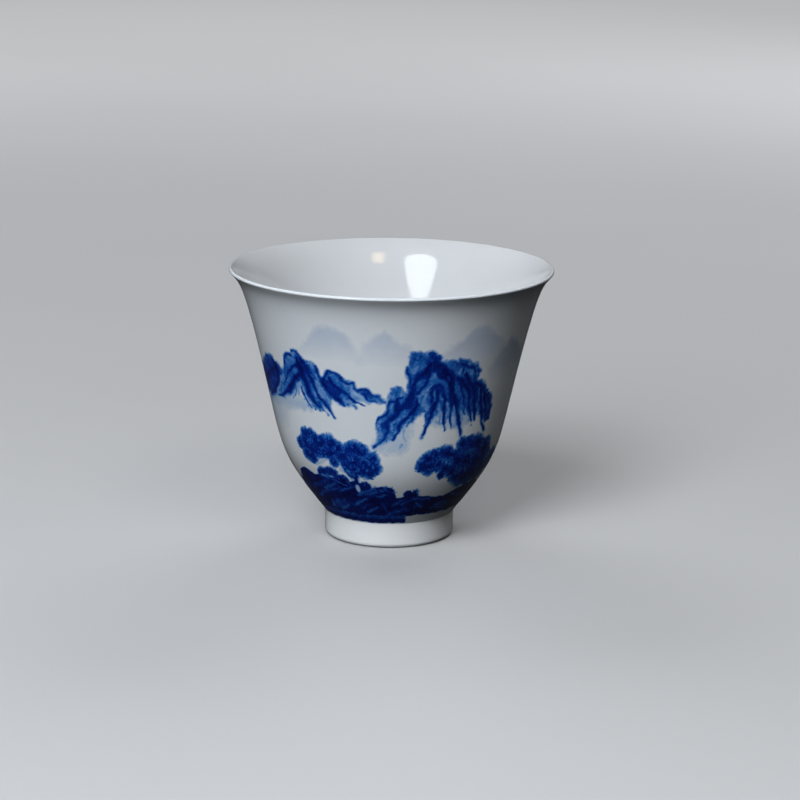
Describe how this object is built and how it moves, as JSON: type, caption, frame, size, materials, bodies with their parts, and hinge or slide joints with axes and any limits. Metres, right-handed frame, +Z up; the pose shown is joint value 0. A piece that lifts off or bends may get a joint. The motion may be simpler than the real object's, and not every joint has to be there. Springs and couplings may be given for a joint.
{
  "type": "teacup",
  "caption": "Small bell-shaped porcelain tea cup with a flared lip and a turned foot ring, glazed inside and out and printed all round with a cobalt mountain landscape.",
  "frame": {"origin": "centre of the foot ring's bearing edge, on the surface the cup stands on", "axes": "+Z up along the cup's axis; -Y is the side with the main mountain; +X is to its right"},
  "size_m": [0.075, 0.075, 0.0634],
  "materials": {
    "porcelain": "fine biscuit, bare only on the foot's bearing edge",
    "glaze": "clear high-gloss glaze with a faint blue-grey cast over white porcelain",
    "cobalt_print": "cobalt print under gloss, from navy strokes to mid-blue washes",
    "pale_wash": "pale grey-blue wash under gloss, fading to white"
  },
  "bodies": {
    "root": {"porcelain_bowl": "porcelain", "foot_ring": "porcelain", "outer_glaze": "glaze", "inner_glaze": "glaze", "foot_glaze": "glaze", "base_glaze": "glaze", "distant_hills": "pale_wash", "left_range": "cobalt_print", "main_peak": "cobalt_print", "left_trees": "cobalt_print", "right_trees": "cobalt_print", "left_bank": "cobalt_print", "right_bank": "cobalt_print", "base_line": "cobalt_print", "back_hills": "pale_wash", "back_range": "cobalt_print", "back_trees": "cobalt_print", "back_bank": "cobalt_print"}
  },
  "joints": []
}
